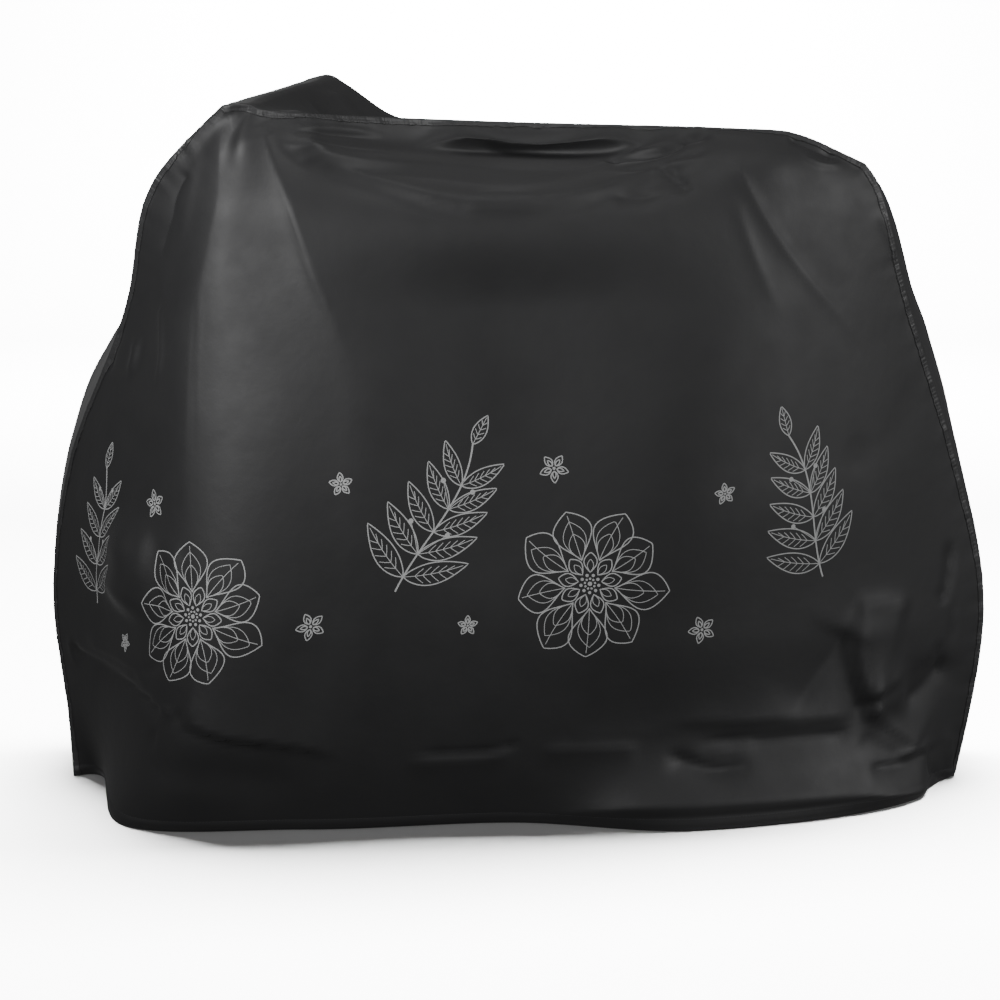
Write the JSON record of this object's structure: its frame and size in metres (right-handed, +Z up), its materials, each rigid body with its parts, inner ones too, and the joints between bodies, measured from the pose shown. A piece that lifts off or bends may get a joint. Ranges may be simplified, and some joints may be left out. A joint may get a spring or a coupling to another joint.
{
  "type": "bicycle cover",
  "caption": "Thin black film cover draped in the shape of a parked bicycle, sewn from side panels and a gusset strip, hollow and open at the hem.",
  "frame": {"origin": "middle of the cover's footprint, at the level of the floor that the hem stands on", "axes": "+X runs along the cover from the handlebar end to the rear end, +Y from the near side to the far side, +Z up"},
  "size_m": [1.6832, 0.667, 1.2554],
  "materials": {
    "film": "satin black film with a soft sheen",
    "print": "light grey print on the film, satin",
    "thread": "dark sewing thread"
  },
  "bodies": {
    "root": {"side_panel_near": "film", "side_panel_far": "film", "gusset": "film"}
  },
  "joints": []
}
